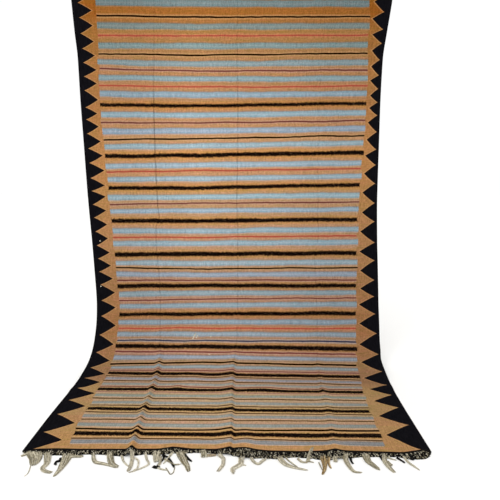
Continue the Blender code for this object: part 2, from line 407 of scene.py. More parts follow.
# Mesh of the cloth: columns beside each crest and along the selvedges, in millimetres, the
# number of plain ones between creases, and the widest step between two weft rows.
CREASE_COLUMNS = (-110, -90, -75, -60, -48, -38, -30, -22, -16, -11, -6, -3)
CREASE_COLUMNS += (0, 3, 6, 11, 16, 22, 30, 38, 48)
SELVEDGE_COLUMNS = (2, 5, 9)
PLAIN_COLUMNS = 19
WIDEST_ROW = 14 * MM
FIRST_ROW = 6 * MM
END_FADE = 40 * MM
# Each stripe starts and ends a little further in or out, in millimetres.
END_JITTER = 3.2
# Plain golden ground before the first stripe, in millimetres.
END_BAND = 33.0
# The thick black lines and the selvedges stand this far above the rest of the face.
BLACK_RISE = 0.9 * MM
# How far in from its edges and from its ends, in millimetres, a black line has its full rise
RISE_SLOPE = 8.0
RISE_END = 4.0
SELVEDGE_RISE = 0.8 * MM
SELVEDGE_WIDTH = 7.0
# Drift of the weft lines, all in millimetres.
WAVERS = (
    # depth, wavelength across, wavelength along
    (2.0, 330, 110),
    (0.9, 70, 45),
)

# Dyes as sRGB hex. The ochre and the blue change slowly along the cloth: partly as each lot of
# hand-dyed yarn ran out, partly as painted shade that darkens them at the sweep and near the top
# edge. Place along in millimetres and the two colours.
DYE_LOTS_AND_SHADE = (
    # along, ochre, blue
    (0, "B4946A", "8A8E8A"),
    (120, "B4946A", "91948E"),
    (350, "B09470", "959790"),
    (540, "B0946C", "9C998D"),
    (640, "9A7C62", "969496"),
    (760, "9C7C60", "949BA1"),
    (1000, "A37C58", "949FA7"),
    (1300, "AE8462", "9CA9B2"),
    (1500, "B58C66", "A1AFBB"),
    (1700, "BC9068", "A2B4C2"),
    (2030, "C49664", "ABB9C2"),
    (2330, "B5875A", "9DB0BA"),
    (2620, "AF8050", "92A2A0"),
    (2800, "A57640", "868E8A"),
    (2850, "A0682C", "828C8A"),
    (3074, "A0682C", "788A8A"),
)
# The thin lines, and the ochre passes right beside them
ACCENT_DYES = {
    RED: ("AE5040", "CE8460"),
    MAROON: ("703C36", "C09684"),
    NAVY: ("2E3048", "AAA6A4"),
    ROSE: ("9A7262", "C8A080"),
    BROWN: ("543A22", "C2A47C"),
    DARK: ("1E0C02", "CCA06E"),
}
LOT_SPREAD = 0.02
# Painted light, brightest a little left of the middle and darker towards both sides, most at the
# right: brightness of each dye, high up and low down.
PAINTED_LIGHT_FALLOFF = (
    # across, ochre high, ochre low, blue high, blue low
    (0.00, 0.80, 0.88, 0.68, 0.78),
    (0.16, 0.83, 0.90, 0.72, 0.80),
    (0.38, 0.98, 1.04, 0.90, 1.00),
    (0.65, 0.89, 0.97, 0.81, 0.88),
    (0.84, 0.77, 0.83, 0.69, 0.72),
    (1.00, 0.75, 0.80, 0.67, 0.70),
)
# Metres along, where the painted light low down starts to give way to that high up
PAINTED_LIGHT_BLEND_START = 0.8

# How far the twined edging reaches ahead of the cloth's edge, in millimetres.
EDGING_WIDTH = (
    # across, width
    (0.000, 12),
    (0.010, 22),
    (0.030, 26),
    (0.065, 44),
    (0.107, 44),
    (0.165, 35),
    (0.205, 38),
    (0.261, 50),
    (0.302, 35),
    (0.363, 47),
    (0.420, 25),
    (0.467, 29),
    (0.505, 45),
    (0.535, 68),
    (0.560, 66),
    (0.583, 55),
    (0.620, 54),
    (0.662, 38),
    (0.700, 44),
    (0.740, 66),
    (0.775, 60),
    (0.822, 37),
    (0.866, 33),
    (0.912, 30),
    (0.945, 50),
    (0.978, 60),
    (0.990, 50),
    (1.000, 18),
)
# The loose warp ends: their wool, their width at the root and at the tip, and the places that
# they pass, each as millimetres right of the middle and ahead of the cloth's mean front line.
COTTON, CLEAN, GREASY, GOLDEN = "cotton", "clean", "greasy", "golden"
WARP_ENDS = (
    # wool, root width, tip width, places
    (COTTON, 14, 12, (-835, 28), (-855, 38), (-870, 48)),
    (COTTON, 20, 12, (-850, 22), (-820, 65), (-795, 110)),
    (COTTON, 25, 16, (-830, 22), (-800, 65), (-785, 110)),
    (COTTON, 25, 12, (-805, 22), (-785, 60), (-780, 100)),
    (COTTON, 4, 4, (-845, 45), (-810, 90), (-795, 130), (-790, 160), (-800, 185)),
    (COTTON, 30, 14, (-765, 25), (-750, 65), (-740, 100), (-745, 125), (-730, 145), (-695, 155)),
    (BLACK, 14, 12, (-695, 60), (-690, 80), (-705, 85), (-705, 100), (-695, 105)),
    (COTTON, 45, 10, (-675, 35), (-670, 90), (-670, 130), (-675, 160), (-680, 180)),
    (COTTON, 18, 12, (-660, 50), (-630, 52), (-605, 50)),
    (COTTON, 16, 12, (-570, 30), (-555, 70), (-540, 90), (-505, 100), (-465, 115), (-440, 125)),
    (COTTON, 33, 16, (-500, 25), (-485, 70), (-470, 100), (-440, 120)),
    (CLEAN, 10, 6, (-445, 45), (-430, 80), (-410, 105), (-385, 125)),
    (CLEAN, 20, 12, (-405, 30), (-395, 70), (-390, 115), (-395, 150)),
    (CLEAN, 8, 6, (-385, 60), (-365, 85), (-360, 125), (-375, 145)),
    (CLEAN, 10, 6, (-350, 25), (-335, 70), (-320, 100), (-340, 125), (-370, 145), (-390, 155)),
    (COTTON, 33, 25, (-300, 15), (-295, 60), (-290, 90)),
    (COTTON, 12, 8, (-280, 50), (-275, 90), (-280, 125)),
    (BLACK, 10, 8, (-275, 25), (-265, 65), (-275, 90), (-285, 125)),
    (BLACK, 16, 16, (-275, 115), (-285, 125), (-300, 115)),
    (COTTON, 8, 4, (-280, 125), (-260, 135), (-235, 140)),
    (COTTON, 4, 4, (-245, 125), (-230, 150), (-220, 165), (-210, 150), (-210, 125), (-230, 100)),
    (BLACK, 12, 8, (-275, 45), (-255, 52), (-235, 80), (-210, 125)),
    (COTTON, 10, 6, (-235, 25), (-250, 70), (-260, 100)),
    (COTTON, 8, 6, (-265, 65), (-240, 85), (-210, 105), (-185, 100)),
    (COTTON, 42, 14, (-200, 20), (-190, 50), (-175, 85), (-160, 115), (-150, 150)),
    (BLACK, 10, 8, (-180, 35), (-165, 62), (-145, 85)),
    (COTTON, 29, 25, (-105, 10), (-100, 35), (-95, 60)),
    (GREASY, 16, 12, (-85, 45), (-65, 44), (-45, 42)),
    (CLEAN, 18, 12, (-35, 38), (-15, 70), (-15, 100), (-25, 130), (-35, 150)),
    (CLEAN, 24, 18, (60, 62), (60, 100), (45, 115), (25, 135), (30, 165)),
    (COTTON, 6, 4, (55, 100), (65, 105), (80, 110)),
    (CLEAN, 12, 16, (100, 65), (115, 90), (130, 100), (145, 85), (165, 65)),
    (CLEAN, 25, 8, (220, 60), (230, 85), (245, 105), (280, 125), (330, 140)),
    (COTTON, 8, 4, (245, 60), (265, 90), (290, 120)),
    (CLEAN, 12, 10, (295, 65), (315, 90), (335, 90)),
    (CLEAN, 16, 12, (335, 85), (345, 50), (360, 10), (370, -10)),
    (COTTON, 6, 4, (325, 90), (340, 85), (360, 90)),
    (GOLDEN, 30, 8, (405, 50), (403, 90), (398, 130), (384, 168)),
    (GOLDEN, 12, 8, (425, 60), (420, 100), (425, 130)),
    (COTTON, 5, 4, (380, 90), (385, 125), (390, 150)),
    (COTTON, 16, 16, (450, 60), (450, 70), (450, 90)),
    (COTTON, 25, 8, (500, 35), (495, 80), (500, 115), (515, 150), (545, 155)),
    (BLACK, 10, 8, (515, 60), (515, 80), (520, 100)),
    (COTTON, 37, 12, (585, 35), (585, 80), (600, 110), (620, 140)),
    (COTTON, 25, 14, (665, 35), (655, 85), (660, 115), (675, 155)),
    (COTTON, 20, 12, (660, 85), (667, 100), (678, 110)),
    (BLACK, 8, 6, (640, 50), (645, 65), (645, 80)),
    (COTTON, 6, 4, (670, 60), (690, 70), (705, 75)),
    (BLACK, 10, 8, (710, 60), (725, 80), (735, 95)),
    (COTTON, 12, 6, (740, 50), (750, 90), (765, 115), (780, 140)),
    (BLACK, 22, 14, (762, 50), (770, 64), (780, 74)),
)
# The darkest and the palest yarn of each wool.
WARP_DYES = {
    COTTON: ("90876C", "E6DEC6"),
    CLEAN: ("B4AB92", "EFE7D2"),
    GREASY: ("8A7C62", "C4B294"),
    GOLDEN: ("7C6038", "D6BC8C"),
    BLACK: ("060606", "1E1C1A"),
}
FRONT_LINE = TOP_EDGE_AHEAD - SIDE_VIEW[0][0]
YARN_RADIUS = 1.8 * MM
YARN_PITCH = 2.2
YARN_STEP = 5.0
YARN_SIDES = 5
YARN_SWAY = 0.16
LOCK_CROWN = 0.35
LANDING = 16 * MM
FLOOR_CLEARANCE = 0.1 * MM
# The outer yarns of a lock are shorter, and darker by painted shade, by up to these shares. How deep
# a yarn is sunk into the edging, and how far its dye goes from the darkest to the palest.
YARN_SHORTENING = 0.16
PAINTED_SIDE_SHADE = 0.35
YARN_SUNK = (0.0, 0.95)
DYE_RANGE = (-0.1, 1.1)
YARN_THICKNESS = (0.8, 1.15)
CROWN_RANGE = (0.2, 1.0)
# Two plies that make a full turn in so many millimetres, and flecks of soil
PLIES = 2
FULL_TWIST = 7.0
SOIL_FLECK = 8 * MM
# The twined edging: its rise, the black weft that shows before the first stitches, the
# off-white warps that show between its turns, and the share of turns that stand above them.
EDGING_RISE = 4.5 * MM
EDGING_LUMP = 7.5
CORNER_PULL = 9 * MM
CORNER_REACH = 0.02
BLACK_TURNS = 10.0
STITCH_SPACING = 4.2
STITCH_ROWS = 7.0
STITCH_LENGTH = 9.0
STITCH_RADIUS = 1.25 * MM
STITCH_SHARE = (0.50, 0.78)
TURN_SHARE = 0.2
STITCHED = (0.006, 0.992)
# In millimetres: how far a stitch strays to a side, and how high it and a raised turn stand.
# The other pairs are shares of the usual length, thickness and dye.
STITCH_SCATTER = 1.2
STITCH_LENGTHS = (0.6, 1.1)
STITCH_THICKNESS = (0.75, 1.25)
STITCH_DYES = (-0.25, 1.15)
STITCH_STAND = (0.4, 1.4)
TURN_STAND = (2.5, 3.5)
TURN_THICKER = 1.3
TURN_FORWARD = 0.4
EDGING_SECTIONS = 420
LUMP_SHARE = 0.12
EDGING_WAVERS = (
    # depth in millimetres, waves over the width, seed
    (1.5, 60, 7),
    (0.8, 170, 8),
)
# Share of the edging's depth, and of its rise, round its section
EDGING_SECTION = (
    # depth, rise
    (0.0, 0.0),
    (0.0, 0.75),
    (0.1, 1.0),
    (0.35, 0.92),
    (0.62, 0.98),
    (0.85, 0.8),
    (1.0, 0.35),
    (1.0, 0.0),
)
# Fibres that stand out of the thick black lines: one for each of these millimetres of line
# at each side, with their length and width, how far in their roots are and how far they lean.
FIBRE_SPACING = 1.9
FIBRE_LENGTH = 9.0
FIBRE_WIDTH = 1.1
FIBRE_ROOT = (4, 9)
FIBRE_LENGTHS = (0.5, 1.2)
FIBRE_LEAN = 2.2
FIBRE_CLEARANCE = 0.2 * MM
FIBRE_CROWN = 0.5 * MM

# Lint caught in the weave: place across, place along and size, the last two in millimetres.
LINT = (
    # across, along, size
    (0.028, 1567, 9),
    (0.018, 1285, 8),
    (0.345, 962, 8),
    (0.347, 972, 11),
    (0.350, 983, 12),
    (0.353, 993, 10),
    (0.357, 969, 10),
    (0.360, 979, 9),
    (0.407, 974, 9),
    (0.408, 863, 8),
    (0.296, 758, 8),
)
LINT_SIDES = 9
LINT_SECTION = (
    # millimetres over the cloth, share of the size
    (-0.3, 1.0),
    (0.8, 0.7),
)

# Tints of a dye, as shares of its red, green and blue light. A pair is for the two lots.
GOLDEN_LOTS = ((0.86, 0.97, 0.88), (0.98, 1.06, 1.08))
PINKISH_LOTS = ((1.0, 0.95, 1.14), (1.14, 1.08, 1.42))
OCHRE_BY_BLACK = (1.10, 0.97, 0.66)
OCHRE_MARGIN = (0.94, 0.82, 0.60)
BLUE_LOTS = ((0.84, 1.0, 1.03), (0.97, 1.0, 1.02))
PALE_PASS = (1.12, 1.12, 1.12)
DARK_PASS = (0.50, 0.56, 0.56)
OUTER_PASSES = ((0.74, 0.86, 1.2), (1.06, 1.26, 1.9))
# The wool's unevenness, as noises with their sizes in millimetres
GRAINS = (
    # name, size along the weft, size along the warp, detail
    ("weft_streaks", 100.0, 4.6, 2.0),
    ("rib_shade", 4.4, 40.0, 2.0),
    ("hand_dye", 45.0, 16.0, 3.0),
    ("patches", 160.0, 120.0, 2.0),
    ("ragged", 5.0, 5.0, 2.0),
    ("mottle", 13.0, 8.0, 3.0),
    ("comb", 4.2, 16.0, 3.0),
)
# How much each noise lightens the wool, and what brings the mean back to full brightness
SHADE_WEIGHTS = {"weft_streaks": 0.16, "patches": 0.14, "ragged": 1.0, "mottle": 0.4}
SHADE_BASE = 0.15
# The ribs over the warps and the weft passes: spacing and relief in millimetres. The passes are
# drawn twice as coarse as real, since finer ones don't show.
WEAVE = (
    # axis of the flat place, spacing, relief
    ("X", 4.0, 0.16),
    ("Y", 2.6, 0.10),
)
# What the wool reads from the cloth's mesh
CHART_FACTS = ("weft_place", "blue_in", "blue_lower", "black_in", "accent_in", "field_in", "border_in")
CHART_FACTS += ("tooth_turns", "tooth_reach", "notch_in", "crease_off", "crease_worn")
DYE_AND_SHADE_FACTS = ("blue_dye", "ochre_dye", "accent_dye", "beside_dye")
FAR_FROM_CREASE = 99.0

# The view, in metres: the lens is for a 36 mm sensor.
CAMERA_PLACE = (0.096, -2.896 + TOP_EDGE_AHEAD, 1.246 - TOP_EDGE_HEIGHT)
CAMERA_TILT = math.radians(90 - 11.2)
CAMERA_LENS = 34.56
SENSOR_WIDTH = 36.0
SURROUND_STRENGTH = 1.02
FLOOR_REACH = 12.0
FLOOR_DROP = 0.5 * MM
LIGHTS = (
    # name, kind, power, softness, place, aimed at
    ("window_side_light", "AREA", 45.0, 2.4, (-3.2, -3.6, 1.6), (0.0, 0.0, -1.1)),
    ("ceiling_light", "SUN", 0.45, math.radians(70), (-1.0, -2.0, 3.0), (0.0, 0.0, -1.1)),
)


def columns(table):
    """The table's columns as arrays."""
    return np.array(table, dtype=float).T


def ease(share):
    """A share from 0 to 1 that starts and ends gently."""
    return share * share * (3 - 2 * share)


def unit(vectors):
    """The vectors at length 1."""
    return vectors / (np.linalg.norm(vectors, axis=-1, keepdims=True) + 1e-12)


def run_along(*parts):
    """How far along a line each of its points is."""
    steps = np.linalg.norm(np.diff(np.stack(parts), axis=1), axis=0)
    return np.concatenate([[0.0], np.cumsum(steps)])


def smooth(where, places, values):
    """A smooth curve through the values that never overshoots them."""
    steps = np.diff(places)
    slopes = np.diff(values) / steps
    joined = np.where(slopes[1:] * slopes[:-1] > 0, 1.0, 0.0)
    total = slopes[1:] + slopes[:-1]
    mean = 2 * slopes[1:] * slopes[:-1] / np.where(joined > 0, total, 1.0)
    bends = np.concatenate([[slopes[0]], mean * joined, [slopes[-1]]])
    spot = np.clip(np.searchsorted(places, where) - 1, 0, len(steps) - 1)
    share = (where - places[spot]) / steps[spot]
    lead = bends[spot] * steps[spot]
    tail = bends[spot + 1] * steps[spot]
    line = values[spot] + (values[spot + 1] - values[spot]) * ease(share)
    return line + lead * share * (1 - share) ** 2 - tail * share * share * (1 - share)


def side_places():
    """How far along the cloth each row of the side view is, in metres."""
    ahead, height, _, _ = columns(SIDE_VIEW)
    return run_along(ahead, height)


CLOTH_LENGTH = side_places()[-1]


def crest_offset(table, across, along):
    """Metres to the right of a crease's crest."""
    places, crest_at = columns(table)[:2]
    return (across - np.interp(along, places, crest_at)) * RUG_WIDTH


def crease_relief(table, across, along):
    """The height of a crease's ridge at each place of the cloth."""
    places, _, crest, left, right, _ = columns(table)
    offset = crest_offset(table, across, along)
    flank = np.where(offset < 0, np.interp(along, places, left), np.interp(along, places, right))
    out = np.clip(np.abs(offset) / (flank * MM), 0, 1)
    rounded = np.hypot(out, CREST_ROUNDING) - CREST_ROUNDING
    full = math.hypot(1, CREST_ROUNDING) - CREST_ROUNDING
    return np.interp(along, places, crest) * MM * (1 - rounded / full) ** 2


def swell_relief(across, along):
    """The height of the low swells in the lying part."""
    total = np.zeros_like(along)
    for centre, side, height, reach_along, reach_across in SWELLS:
        far_along = (along - centre) / (reach_along * MM)
        far_across = (across - side) * RUG_WIDTH / (reach_across * MM)
        far = np.clip(np.hypot(far_along, far_across), 0, 1)
        total += height * MM * np.cos(far * math.pi / 2) ** 2
    return total


def wave_relief(across, along):
    """The slow waves of the hanging part."""
    grown = np.clip((along - WAVES_START) / (WAVES_FULL - WAVES_START), 0, 1)
    total = np.zeros_like(along)
    for depth, waves, along_waves, phase in HANGING_WAVES:
        total += depth * MM * np.cos(math.tau * (waves * across + along_waves * along) + phase)
    return total * ease(grown)


def cloth_points(across, along):
    """The cloth's underside at places across (0 to 1) and along (metres from the front)."""
    places = side_places()
    ahead, height, drift, wider = columns(SIDE_VIEW)
    y = TOP_EDGE_AHEAD - smooth(along, places, ahead)
    z = smooth(along, places, height) - TOP_EDGE_HEIGHT
    before = along - SLOPE_REACH
    after = along + SLOPE_REACH
    slope_y = smooth(before, places, ahead) - smooth(after, places, ahead)
    slope_z = smooth(after, places, height) - smooth(before, places, height)
    length = np.hypot(slope_y, slope_z)
    relief = swell_relief(across, along) + wave_relief(across, along)
    for table in CREASES:
        relief = relief + crease_relief(table, across, along)
    width = RUG_WIDTH + smooth(along, places, wider) * MM
    x = smooth(along, places, drift) * MM + (across - 0.5) * width
    edge_at, edge_ahead = columns(FRONT_EDGE)
    fading = np.clip(1 - along / EDGE_FADE, 0, 1)
    y = y - np.interp(across, edge_at, edge_ahead) * MM * fading
    return np.stack([x, y - relief * slope_z / length, z + relief * slope_y / length], -1)


def surface_normals(points):
    """Unit normals on the cloth's face, for a grid of points in rows up the cloth."""
    return unit(np.cross(np.gradient(points, axis=1), np.gradient(points, axis=0)))


def waver(across, along, seed):
    """A slow uneven drift between -1 and 1, for places in units of its own wavelength."""
    draw = np.random.default_rng(seed)
    total = np.zeros_like(along)
    for _ in range(6):
        turn_across, turn_along = draw.uniform(-1, 1, 2)
        total += np.sin(math.tau * (turn_across * across + turn_along * along + draw.random()))
    return total / 3


def weft_shift(across, along):
    """Millimetres that the weft runs further along at these places, both arrays in metres."""
    places, left, right = columns(UNEVEN_WEFT)
    at_left = np.interp(along / MM, places, left)
    at_right = np.interp(along / MM, places, right)
    first, middle, last = UNEVEN_SIDES
    shift = at_left * np.clip((middle - across) / (middle - first), 0, 1.4)
    shift += at_right * np.clip((across - middle) / (last - middle), 0, 1.2)
    for seed, (depth, wide, long) in enumerate(WAVERS):
        shift += depth * waver(across * RUG_WIDTH / MM / wide, along / MM / long, seed)
    return shift * np.clip(np.minimum(along, CLOTH_LENGTH - along) / END_FADE, 0, 1)


def linear(hex_colour):
    """An sRGB hex colour as linear red, green, blue and alpha."""
    parts = np.array([int(hex_colour[start:start + 2], 16) / 255 for start in (0, 2, 4)])
    light = np.where(parts <= 0.04045, parts / 12.92, ((parts + 0.055) / 1.055) ** 2.4)
    return (*light.tolist(), 1.0)


def add(tree, kind, inputs=(), out=0, **settings):
    """Adds a shader node with its settings, and with its inputs as values or links."""
    node = tree.nodes.new("ShaderNode" + kind)
    for name, value in settings.items():
        setattr(node, name, value)
    sockets = inputs if isinstance(inputs, dict) else dict(enumerate(inputs))
    for socket, value in sockets.items():
        if isinstance(value, bpy.types.NodeSocket):
            tree.links.new(value, node.inputs[socket])
        else:
            node.inputs[socket].default_value = value
    return node.outputs[out]


def start_material(name, **finish):
    """A new material with constant settings on its shader: its node tree and its shader."""
    material = bpy.data.materials.new(name)
    material.use_nodes = True
    shader = material.node_tree.nodes["Principled BSDF"]
    for socket, value in finish.items():
        shader.inputs[socket.replace("_", " ")].default_value = value
    return material, material.node_tree, shader


def place_object(name, data, location=(0.0, 0.0, 0.0), turn=(0.0, 0.0, 0.0)):
    """Links a new object that shows this data at its place."""
    thing = bpy.data.objects.new(name, data)
    thing.location = location
    thing.rotation_euler = turn
    bpy.context.collection.objects.link(thing)
    return thing


def make_mesh(name, points, faces, material, smooth_faces=True):
    """Links a mesh object that rides with the cloth."""
    mesh = bpy.data.meshes.new(name)
    mesh.from_pydata([tuple(point) for point in points], [], [tuple(face) for face in faces])
    mesh.polygons.foreach_set("use_smooth", [smooth_faces] * len(mesh.polygons))
    mesh.materials.append(material)
    mesh.update()
    piece = place_object(name, mesh)
    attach(piece, ROOT)
    return piece


def give(piece, name, values):
    """Stores one value, or one vector or colour, for each point of the mesh."""
    values = np.asarray(values, dtype=float)
    kinds = {1: ("FLOAT", "value"), 3: ("FLOAT_VECTOR", "vector"), 4: ("FLOAT_COLOR", "color")}
    kind, field = kinds[1 if values.ndim == 1 else values.shape[1]]
    attribute = piece.data.attributes.new(name, kind, "POINT")
    attribute.data.foreach_set(field, values.ravel())


def tube_faces(first, rings, sides):
    """Quads between rings of points that follow each other, and a cap at each end."""
    faces = []
    for ring in range(rings - 1):
        low = first + ring * sides
        for side in range(sides):
            after = (side + 1) % sides
            faces.append((low + side, low + after, low + sides + after, low + sides + side))
    last = first + (rings - 1) * sides
    faces.append(tuple(range(first + sides - 1, first - 1, -1)))
    faces.append(tuple(range(last, last + sides)))
    return faces


# The woven cloth


def column_places(along):
    """Places across for each column, which follow the creases as they wander."""
    offsets = [side * MM / RUG_WIDTH for side in CREASE_COLUMNS]
    edge = [side * MM / RUG_WIDTH for side in SELVEDGE_COLUMNS]
    places = [0.0, *edge]
    for table in CREASES:
        crest = np.interp(along, columns(table)[0], columns(table)[1])
        places += list(np.linspace(places[-1], crest + offsets[0], PLAIN_COLUMNS + 1)[1:])
        places += [crest + offset for offset in offsets[1:]]
    places += list(np.linspace(places[-1], 1.0 - edge[-1], PLAIN_COLUMNS + 1)[1:])
    places += [1.0 - side for side in edge[-2::-1]] + [1.0]
    return np.array(places)


def weft_rows():
    """Metres along the cloth for each row: every stripe's middle, and half way between two."""
    marks = [0.0, FIRST_ROW, CLOTH_LENGTH]
    for (_, before, width), (_, after, next_width) in zip(CHART, CHART[1:]):
        marks.append((before + width / 2 + after - next_width / 2) / 2 * MM)
    for yarn, middle, width in CHART:
        marks.append(middle * MM)
        if yarn == BLACK:
            marks += [(middle - width / 2) * MM, (middle + width / 2) * MM]
    rows = [0.0]
    for mark in sorted(marks)[1:]:
        count = max(1, math.ceil((mark - rows[-1]) / WIDEST_ROW))
        rows += list(np.linspace(rows[-1], mark, count + 1)[1:])
    return np.array(rows)


def stripe_depth(rows, yarns):
    """Millimetres that each row lies inside the nearest stripe of these yarns, and its number."""
    numbers = [number for number, (yarn, _, _) in enumerate(CHART) if yarn in yarns]
    depths = np.array([CHART[number][2] / 2 - np.abs(rows / MM - CHART[number][1]) for number in numbers])
    return depths.max(axis=0), np.array(numbers)[np.argmax(depths, axis=0)]


def dye_and_shade_colours(rows, lot_of_row, column, seed):
    """The dye of each row with its painted shade along the cloth, and a slightly different lot for each
    stripe.
    """
    places = [lot[0] for lot in DYE_LOTS_AND_SHADE]
    colours = np.array([linear(lot[column]) for lot in DYE_LOTS_AND_SHADE])
    # Partly painted shade: the slow change along the cloth darkens the dyes at the sweep and near the top
    # edge.
    mixed = np.stack([np.interp(rows / MM, places, channel) for channel in colours.T], -1)
    draw = np.random.default_rng(seed)
    lots = draw.normal(0, LOT_SPREAD, (len(CHART), 3)) + draw.normal(0, LOT_SPREAD, (len(CHART), 1))
    mixed[:, :3] *= 1 + lots[lot_of_row]
    return mixed


def field_depth(rows, across, along, true_along):
    """Millimetres that each place lies inside the striped field, whose stripes end unevenly."""
    places, left, right = columns(FIELD_SIDES)
    from_left = across * RUG_WIDTH / MM - np.interp(true_along / MM, places, left)
    from_right = (1 - across) * RUG_WIDTH / MM - np.interp(true_along / MM, places, right)
    ends = np.random.default_rng(9).normal(0, END_JITTER, (2, len(CHART)))
    ends = ends[:, stripe_depth(rows, (BLUE, BLACK, *ACCENT_DYES))[1]]
    depth = np.minimum(from_left + ends[0][:, None], from_right + ends[1][:, None])
    return np.minimum(depth, along / MM - END_BAND)


def tooth_facts(across, along):
    """At each place: half turns from the first notch, and the reach of the tips and the notches."""
    notch_at, *notch_depths = columns(NOTCH_DEPTH)
    sides = []
    for teeth, notch_depth in zip((LEFT_TEETH, RIGHT_TEETH), notch_depths):
        notch, tip, reach = columns(teeth)
        knots = np.column_stack([notch, tip]).ravel()
        turns = np.interp(along, knots, np.arange(len(knots)))
        tips = np.interp(along, tip, reach) + TIP_FINENESS
        sides.append((turns, tips, np.interp(along, notch_at, notch_depth)))
    return [np.where(across < 0.5, left, right) for left, right in zip(*sides)]


def fold_facts(across, along):
    """Millimetres from the nearest crease, and how much painted shade darkens the wool there."""
    nearest = np.full_like(across, FAR_FROM_CREASE)
    wear_and_shade = np.zeros_like(across)
    for table in CREASES:
        offset = crest_offset(table, across, along) / MM
        nearer = np.abs(offset) < np.abs(nearest)
        nearest = np.where(nearer, offset, nearest)
        wear_and_shade = np.where(nearer, np.interp(along, columns(table)[0], columns(table)[5]), wear_and_shade)
    return nearest, wear_and_shade


def painted_light_shares(across, along):
    """Painted light: how bright the ochre and the blue are painted at each place."""
    high = np.clip(along - PAINTED_LIGHT_BLEND_START, 0, 1)
    places, *shares = columns(PAINTED_LIGHT_FALLOFF)
    ochre_high, ochre_low, blue_high, blue_low = (np.interp(across, places, share) for share in shares)
    return ochre_high * high + ochre_low * (1 - high), blue_high * high + blue_low * (1 - high)


def chart_facts(rows, across, along, true_along):
    """What the weaver's chart and the folds make of each place on the cloth, with painted light and shade
    on its dyes.
    """
    blue_in, blue_stripe = stripe_depth(rows, (BLUE,))
    accent_in, accent_stripe = stripe_depth(rows, tuple(ACCENT_DYES))
    blue_middle = np.array([CHART[stripe][1] for stripe in blue_stripe])
    by_row = {
        "weft_place": rows / MM,
        "blue_in": blue_in,
        "blue_lower": blue_middle - rows / MM,
        "black_in": stripe_depth(rows, (BLACK,))[0],
        "accent_in": accent_in,
    }
    facts = {name: np.repeat(values[:, None], across.shape[1], 1) for name, values in by_row.items()}
    facts["flat_place"] = np.stack([across * RUG_WIDTH / MM, true_along / MM, np.zeros_like(along)], -1)
    facts["field_in"] = field_depth(rows, across, along, true_along)
    facts["border_in"] = np.minimum(across, 1 - across) * RUG_WIDTH / MM
    turns, tips, notches = tooth_facts(across, true_along / MM)
    facts.update(tooth_turns=turns, tooth_reach=tips, notch_in=notches)
    facts["crease_off"], facts["crease_worn"] = fold_facts(across, true_along)

    # Painted light: each dye is made brighter or darker by place across and by height.
    ochre_painted_light, blue_painted_light = (share[..., None] for share in painted_light_shares(across, along))
    beside = [tuple(linear(dye) for dye in ACCENT_DYES[CHART[stripe][0]]) for stripe in accent_stripe]
    accent, halo = (np.array(dyes)[:, None] for dyes in zip(*beside))
    facts["blue_dye"] = dye_and_shade_colours(rows, blue_stripe, 2, 3)[:, None] * blue_painted_light
    facts["ochre_dye"] = dye_and_shade_colours(rows, accent_stripe, 1, 4)[:, None] * ochre_painted_light
    facts["accent_dye"] = accent * ochre_painted_light
    facts["beside_dye"] = halo * ochre_painted_light
    return facts


def sheet_faces(rows, count):
    """Quads of the face, the back and the rim, for two layers of points in the same grid."""
    size = rows * count
    index = np.arange(size).reshape(rows, count)
    corners = (index[:-1, :-1], index[:-1, 1:], index[1:, 1:], index[1:, :-1])
    quads = np.stack([corner.ravel() for corner in corners], 1)
    ring = np.concatenate([index[0], index[1:, -1], index[-1, -2::-1], index[-2:0:-1, 0]])
    after = np.roll(ring, -1)
    edge = np.stack([ring, after, after + size, ring + size], 1)
    return np.concatenate([quads + size, quads[:, ::-1], edge]).tolist()


def woven_cloth(material):
    """The rug as one closed sheet: a face, a back and a rim, with its weft chart stored on it."""
    rows = weft_rows()
    across = np.array([column_places(row) for row in rows])
    along = np.repeat(rows[:, None], across.shape[1], axis=1)
    true_along = along + weft_shift(across, along) * MM
    facts = chart_facts(rows, across, along, true_along)
    under = cloth_points(across, true_along)
    risen = np.clip(facts["black_in"] / RISE_SLOPE, 0, 1) * np.clip(facts["field_in"] / RISE_END, 0, 1)
    rim = np.clip(1 - facts["border_in"] / SELVEDGE_WIDTH, 0, 1)
    lift = BLACK_RISE * risen + SELVEDGE_RISE * np.sin(math.pi * rim)
    over = under + surface_normals(under) * (CLOTH_THICKNESS + lift)[..., None]
    points = np.concatenate([under.reshape(-1, 3), over.reshape(-1, 3)])
    faces = sheet_faces(*across.shape)
    cloth = make_mesh("striped_wool_cloth", points, faces, material)
    for name, values in facts.items():
        flat = values.reshape(across.size, -1) if values.ndim == 3 else values.ravel()
        give(cloth, name, np.concatenate([flat, flat]))
    return cloth


# The cloth's wool. In what follows the low and the high are millimetres in from an edge, or
# levels of a noise.


def lay(tree, below, above, value, low, high, share=1.0):
    """Lays a colour over another as a value passes from low to high, up to a share of it."""
    cover = add(tree, "MapRange", (value, low, high, 0.0, share), interpolation_type="SMOOTHSTEP")
    return add(tree, "Mix", {0: cover, 6: below, 7: above}, out=2, data_type="RGBA")


def two_lots(tree, dye, tints, value, low, high):
    """Wool in two tints of one dye, the second of them where a value passes from low to high."""
    first, second = (add(tree, "VectorMath", (dye, tint), operation="MULTIPLY") for tint in tints)
    return lay(tree, first, second, value, low, high)


def ragged_edge(tree, inside, noise, swing, drawn_in=0.0):
    """Millimetres inside an edge that a noise moves in and out by half of its swing."""
    middle = add(tree, "Math", (inside, swing / 2 + drawn_in), operation="SUBTRACT")
    return add(tree, "Math", (noise, swing, middle), operation="MULTIPLY_ADD")


def away_from(tree, value, place):
    """How far a value is from a place, to either side."""
    offset = add(tree, "Math", (value, place), operation="SUBTRACT")
    return add(tree, "Math", (offset,), operation="ABSOLUTE")


